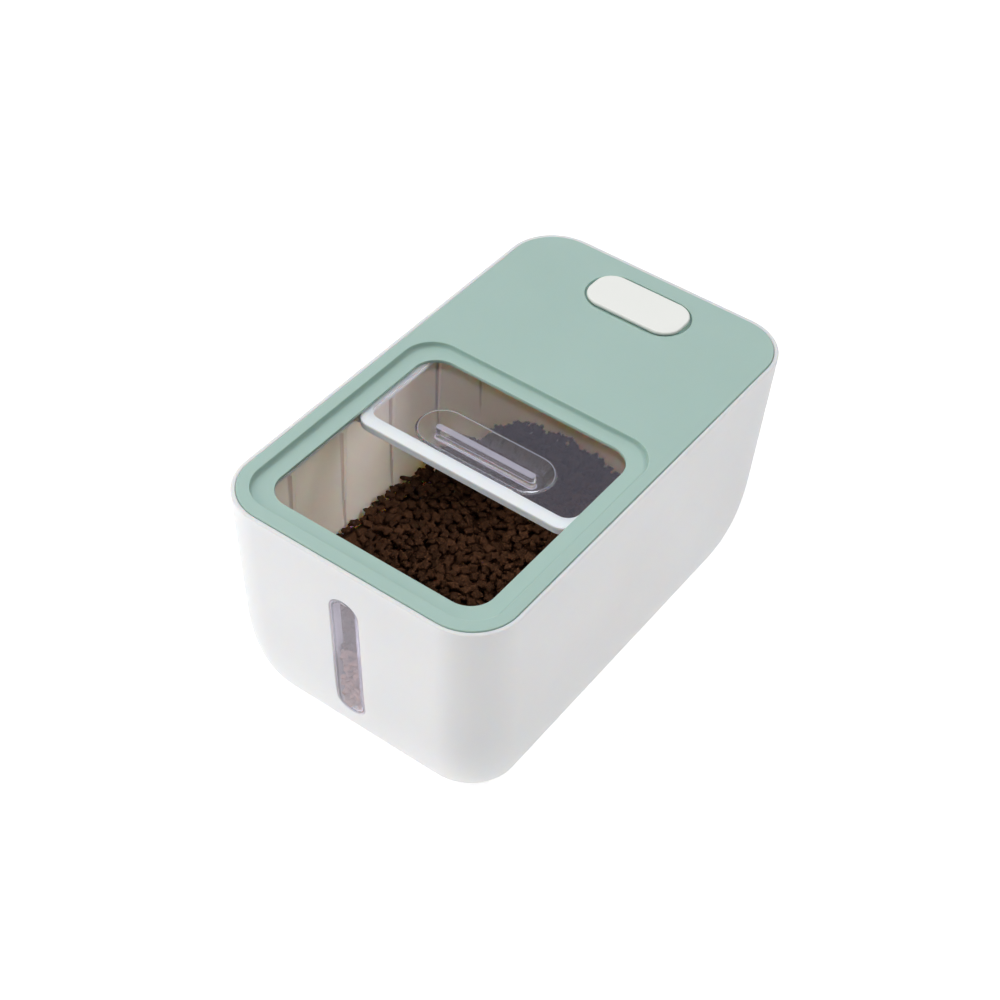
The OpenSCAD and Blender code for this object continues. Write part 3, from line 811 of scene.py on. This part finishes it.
def heap_height(x, y):
    """Height of the kibble's surface: piled against the front wall, falling to the rear."""
    front = 50.0 * ramp(-y, 92, 190)
    rear = 46.0 * ramp(y, 45, 195)
    lumps = 2.0 * math.sin(x * 0.031 + 1.3) * math.sin(y * 0.027) + 1.2 * math.sin(x * 0.09 + y * 0.07)
    return 67.0 + front - rear + lumps


def wall_room(z, margin):
    """Half sizes and corner radius of the bin's inside at height z, less a margin."""
    lean = 1 - z / BIN_H
    side_in = curve_in(z - BASE - FLOOR, SIDE_CURVE)
    end_in = curve_in(z - BASE - FLOOR, END_CURVE)
    inset = WALL + margin
    return (BIN_W / 2 - SIDE_DRAFT * lean - side_in - inset,
            BIN_L / 2 - END_DRAFT * lean - end_in - inset,
            CORNER - inset)


def inside(x, y, z, margin):
    half_x, half_y, r = wall_room(z, margin)
    dx, dy = abs(x) - (half_x - r), abs(y) - (half_y - r)
    if dx > 0 and dy > 0:
        return dx * dx + dy * dy <= r * r
    return abs(x) <= half_x and abs(y) <= half_y


def settle_grains(count):
    """Drops grains one by one onto a bed just under the heap's surface, and returns their places."""
    rng = random.Random(11)
    cell = 8.0
    grid = {}
    placed = []
    for _ in range(count):
        x, y = rng.uniform(-116, 116), rng.uniform(-200, 200)
        surface = heap_height(x, y)
        if not inside(x, y, surface - 9, 3.4):
            continue
        z = surface - 9.5
        key = (int(x // cell), int(y // cell))
        for i in (-1, 0, 1):
            for j in (-1, 0, 1):
                for ox, oy, oz in grid.get((key[0] + i, key[1] + j), ()):
                    gap = (ox - x) ** 2 + (oy - y) ** 2
                    if gap < DROP * DROP:
                        z = max(z, oz + math.sqrt(DROP * DROP - gap))
        if z > surface + 1.5:
            continue
        grid.setdefault(key, []).append((x, y, z))
        placed.append((x, y, z))
    return placed


def window_grains():
    """Places of the grains that press against the window from inside."""
    rng = random.Random(21)
    placed = []
    for depth, reach in ((5.6, 6), (9.6, 6), (15.0, 20)):
        layer = []
        for _ in range(1500):
            x, z = rng.uniform(-reach, reach), rng.uniform(WINDOW_LOW + 6, heap_height(0, -194) - 4)
            if all((x - a) ** 2 + (z - b) ** 2 > 30 for a, b in layer):
                layer.append((x, z))
                placed.append((x, front_wall(z) + depth, z))
    return placed


def grain_points(rng):
    """Points of one grain: a flat flower-shaped biscuit with deep, uneven lobes and thin edges."""
    lobes = rng.choice((4, 5, 5))
    around = 4 * lobes
    phase = rng.uniform(0, 6.28)
    size = rng.uniform(0.88, 1.12)
    thick = rng.uniform(0.75, 1.15)
    arms = [rng.uniform(0.84, 1.12) for _ in range(lobes)]
    rings = ((0.42, 0.95), (0.8, 0.8), (1.0, 0.2), (0.86, -0.62), (0.42, -0.95))
    points = [(0.0, 0.0, KIBBLE_T / 2 * thick * rng.uniform(0.6, 0.9))]
    for radius, up in rings:
        for i in range(around):
            turn = 2 * math.pi * i / around
            lobe = 1 + 0.24 * math.cos(lobes * turn) * min(1.0, radius * 1.3)
            r = KIBBLE_R * size * radius * lobe * arms[round(i / 4) % lobes] * rng.uniform(0.95, 1.05)
            z = KIBBLE_T / 2 * thick * up * rng.uniform(0.8, 1.15)
            points.append((r * math.cos(turn + phase), r * math.sin(turn + phase), z))
    points.append((0.0, 0.0, -KIBBLE_T / 2 * thick * rng.uniform(0.6, 0.9)))
    faces = [(0, 1 + i, 1 + (i + 1) % around) for i in range(around)]
    for k in range(len(rings) - 1):
        for i in range(around):
            a, b = 1 + k * around + i, 1 + k * around + (i + 1) % around
            faces.append((a, a + around, b + around, b))
    last = len(points) - 1
    base = 1 + (len(rings) - 1) * around
    faces += [(last, base + (i + 1) % around, base + i) for i in range(around)]
    return np.array(points), faces


def make_grains(name, places, seed):
    rng = random.Random(seed)
    shapes = [grain_points(rng) for _ in range(GRAIN_SHAPES)]
    points, faces, start = [], [], 0
    for x, y, z in places:
        shape, shape_faces = rng.choice(shapes)
        turn = Euler((rng.gauss(0, 0.4), rng.gauss(0, 0.4), rng.uniform(0, 6.28))).to_matrix()
        moved = shape @ np.array(turn).T + np.array((x, y, z))
        points.append(moved)
        faces += [tuple(i + start for i in face) for face in shape_faces]
        start += len(shape)
    mesh = bpy.data.meshes.new(name)
    mesh.from_pydata((np.concatenate(points) * MM).tolist(), [], faces)
    grains = add_object(name, mesh)
    for polygon in mesh.polygons:
        polygon.use_smooth = True
    return grains


def make_bed():
    """The body of the heap under its loose grains."""
    low = BASE + FLOOR + 4
    shell = Shell()
    rings = []
    for share in (0.0, 0.2, 0.4, 0.6, 0.8, 1.0):
        heights = [low + 40 * share] * (4 * (ARC + 1))
        for _ in range(4):
            edges = [wall_room(z, 10.0) for z in heights]
            ring = [rounded(*edge, z=z)[i] for i, (edge, z) in enumerate(zip(edges, heights))]
            heights = [low + share * (heap_height(x, y) - BED_UNDER - low) for x, y, _ in ring]
        rings.append([(x, y, z) for (x, y, _), z in zip(ring, heights)])
    loops = shell.skin(rings)
    shell.cap(loops[0])
    top = [loops[-1]]
    for share in (0.96, 0.9, 0.8, 0.65, 0.5, 0.35, 0.2, 0.08):
        ring = [(x * share, y * share) for x, y, _ in rings[-1]]
        top.append(shell.loop([(x, y, heap_height(x, y) - BED_UNDER) for x, y in ring]))
    for a, b in zip(top, top[1:]):
        shell.bridge(a, b)
    shell.cap(top[-1])
    return smooth(add_object("kibble_bed", shell.mesh("kibble_bed")), 180)


# ---------------------------------------------------------------- room

CAMERA_AZIMUTH, CAMERA_ELEVATION, CAMERA_ROLL = 33.09, 44.18, 4.11
CAMERA_ASIDE, CAMERA_UP, CAMERA_AWAY = -2.22, 83.15, 1579.58
CAMERA_LENS = 71.04


def make_camera():
    a, e, roll = (math.radians(v) for v in (CAMERA_AZIMUTH, CAMERA_ELEVATION, CAMERA_ROLL))
    back = Vector((math.sin(a) * math.cos(e), -math.cos(a) * math.cos(e), math.sin(e)))
    right = Vector((0, 0, 1)).cross(back).normalized()
    up = back.cross(right)
    turned_right = math.cos(roll) * right + math.sin(roll) * up
    turned_up = -math.sin(roll) * right + math.cos(roll) * up
    place = (turned_right * CAMERA_ASIDE + turned_up * CAMERA_UP + back * CAMERA_AWAY) * MM
    place.z += BASE * MM
    data = bpy.data.cameras.new("camera")
    data.sensor_width = 36.0
    data.lens = CAMERA_LENS
    camera = bpy.data.objects.new("camera", data)
    axes = Matrix((turned_right, turned_up, back)).transposed()
    camera.matrix_world = Matrix.Translation(place) @ axes.to_4x4()
    bpy.context.scene.collection.objects.link(camera)
    bpy.context.scene.camera = camera


def area_light(name, place, target, size, power, mirrored):
    data = bpy.data.lights.new(name, "AREA")
    data.shape = "RECTANGLE"
    data.size, data.size_y = size
    data.energy = power
    lamp = bpy.data.objects.new(name, data)
    lamp.visible_glossy = mirrored
    lamp.location = place
    lamp.rotation_euler = (Vector(target) - Vector(place)).to_track_quat("-Z", "Y").to_euler()
    bpy.context.scene.collection.objects.link(lamp)


# name, place, size, power, and whether reflections show it
LIGHTS = [("key", (-1.5, -1.7, 1.3), (2.0, 2.0), 34.5, False),
          ("side", (1.35, 0.35, 2.1), (1.2, 1.2), 22.0, True),
          ("top", (-0.9, -0.35, 2.2), (0.9, 0.9), 12.0, True)]
WORLD_LIGHT = 0.02
WORLD_GLOW = 1.05             # brightness of the part of the world that the clear panel mirrors
GLOW_TOWARDS = (-0.39, 0.6, 0.7)
FLOOR_HALF = 6.0
FLOOR_GLOW = 0.46
LIT_SPOT = (0, 0, 0.12)       # where every lamp points


def make_world():
    """A dim studio with a pale panel behind and above the bin."""
    world = bpy.data.worlds.new("studio")
    bpy.context.scene.world = world
    world.use_nodes = True
    tree = world.node_tree
    background = tree.nodes["Background"]
    background.inputs["Color"].default_value = (0.9, 0.94, 1.0, 1)
    coords = tree.nodes.new("ShaderNodeTexCoord")
    facing = tree.nodes.new("ShaderNodeVectorMath")
    facing.operation = "DOT_PRODUCT"
    facing.inputs[1].default_value = Vector(GLOW_TOWARDS).normalized()
    tree.links.new(coords.outputs["Generated"], facing.inputs[0])
    fade = tree.nodes.new("ShaderNodeMapRange")
    fade.interpolation_type = "SMOOTHSTEP"
    for key, number in (("From Min", 0.75), ("From Max", 0.92),
                        ("To Min", WORLD_LIGHT), ("To Max", WORLD_GLOW)):
        fade.inputs[key].default_value = number
    tree.links.new(facing.outputs["Value"], fade.inputs["Value"])
    tree.links.new(fade.outputs["Result"], background.inputs["Strength"])


def make_room():
    mesh = bpy.data.meshes.new("floor")
    half = FLOOR_HALF
    corners = [(-half, -half, 0), (half, -half, 0), (half, half, 0), (-half, half, 0)]
    mesh.from_pydata(corners, [], [(0, 1, 2, 3)])
    floor = add_object("floor", mesh)
    n = Nodes("pale_floor")
    n.set(Base_Color=(0.93, 0.93, 0.93, 1), Roughness=0.9)
    n.set(Emission_Color=(1, 1, 1, 1), Emission_Strength=FLOOR_GLOW)
    mesh.materials.append(n.material)
    make_world()
    for name, place, size, power, mirrored in LIGHTS:
        area_light(name, place, LIT_SPOT, size, power, mirrored)
    settings = bpy.context.scene.view_settings
    settings.view_transform = "Standard"
    settings.look = "None"


# ---------------------------------------------------------------- assembly

def main():
    make_camera()
    make_room()

    white = moulded_plastic("white_polypropylene", (0.78, 0.778, 0.782), (0.76, 0.758, 0.762),
                            0.42, glow=0.0045)
    # Inside walls: painted light. They are coloured lighter and warmer than the outside to stand in for the
    # light inside the bin and the warm light bounced off the kibble.
    inner_painted_light = moulded_plastic("white_polypropylene_painted_light_inside", (0.95, 0.905, 0.86), (0.92, 0.87, 0.82),
                                  0.45, glow=0.0045)
    # Groove fronts: painted shade, a darker brown white where the groove's front side lies in shade
    groove_painted_shade = moulded_plastic("white_polypropylene_painted_shade_groove", (0.79, 0.71, 0.62), (0.75, 0.67, 0.58),
                                   0.5, glow=0.002)
    frame_white = moulded_plastic("white_abs", (0.93, 0.93, 0.92), (0.91, 0.91, 0.9), 0.32, glow=0.004)
    cover_white = moulded_plastic("cream_white_abs", (0.92, 0.92, 0.87), (0.9, 0.9, 0.85), 0.32)
    green = moulded_plastic("green_abs", (0.43, 0.585, 0.527), (0.415, 0.57, 0.512), 0.32, grain=1100.0,
                            glow=0.0015)
    clear = clear_plastic("clear_polystyrene", (0.985, 0.975, 0.995), (0.88, 0.80, 1.0), bend=1.42)
    dimple = clear_plastic("clear_dimple", (0.97, 0.96, 0.99), (0.88, 0.80, 1.0), milk=0.04, bend=1.22)
    # Ridge top, ridge foot and dimple lip: painted highlight, a milky violet band where the highlights fall
    ridge = clear_plastic("clear_painted_highlight_ridge", (0.86, 0.83, 0.97), (0.9, 0.85, 1.0),
                          milk=0.4, roughness=0.12, bend=1.16)
    window = clear_plastic("clear_window", (0.94, 0.91, 0.98), (0.9, 0.8, 1.0), milk=0.04)
    frosted = clear_plastic("frosted_skirt", (0.93, 0.92, 0.97), (1.0, 1.0, 1.0), milk=0.45, roughness=0.2)
    silicone = rubber("silicone", (0.66, 0.69, 0.68), 0.5)
    grey_rubber = rubber("grey_rubber", (0.18, 0.18, 0.18))
    steel = plated_steel("plated_steel")
    paper = sachet_paper("sachet_paper")
    crumb = kibble_crumb("kibble_crumb", (0.052, 0.023, 0.011), (0.16, 0.068, 0.028))
    # Kibble behind the window: painted light. It is coloured about five times lighter than the rest to
    # stand in for the pale veil of light and reflection seen over it through the window.
    painted_veil = kibble_crumb("kibble_painted_veil", (0.26, 0.16, 0.12), (0.42, 0.29, 0.23))

    bin_shell = dress(make_bin(), "bin", white, "bin_plastic", "bin_body")
    # the inside walls get the lighter, warmer painted-light white
    part_material(bin_shell, inner_painted_light, on_inner_wall)
    # the front parts of the grooves get the painted-shade brown
    part_material(bin_shell, groove_painted_shade, in_groove_shade)
    sight_window = dress(make_window(), "bin", window, "clear_plastic", "window_insert")
    part_material(sight_window, frosted, lambda p: p.y - front_wall(p.z) > WINDOW_FACE + 0.5)
    dress(make_lid(), "lid", green, "lid_plastic", "lid_panel")
    dress(make_bosses(), "lid", green, "lid_plastic")
    dress(make_door_frame(), "door", frame_white, "frame_plastic", "door_top_frame")
    dress(make_door_lower(), "door", frame_white, "frame_plastic", "door_bottom_frame")
    door_panel = dress(make_panel(), "door", clear, "clear_plastic", "door_panel")
    part_material(door_panel, dimple, in_dimple)
    part_material(door_panel, ridge, on_ridge)
    part_material(door_panel, frame_white, in_frame)
    dress(make_cover(), "cover", cover_white, "frame_plastic", "desiccant_cover")
    sachet = dress(make_sachet(), "cup", paper, "sachet_paper", "desiccant_sachet")

    places = settle_grains(24000)
    # the grains pressed against the window get the lighter painted-veil kibble colour
    dress(make_grains("kibble_window", window_grains(), 8), "bin", painted_veil)
    parts = {"front": (-400, -70), "middle": (-70, 60), "rear": (60, 400)}
    for seed, (part, (start, end)) in enumerate(parts.items(), 3):
        dress(make_grains("kibble_" + part, [p for p in places if start <= p[1] < end], seed), "bin", crumb)
    dress(make_bed(), "bin", crumb)
    print("grains", len(places))

    cad_looks = {"lid_gasket": silicone, "left_rail": frame_white, "right_rail": frame_white,
                 "rail_screws": steel, "desiccant_cup": frame_white}
    for corner in ("front_left", "front_right", "rear_left", "rear_right"):
        cad_looks["foot_" + corner] = grey_rubber
    for node, material in cad_looks.items():
        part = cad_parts[node]
        part.data.materials.clear()
        part.data.materials.append(material)


main()
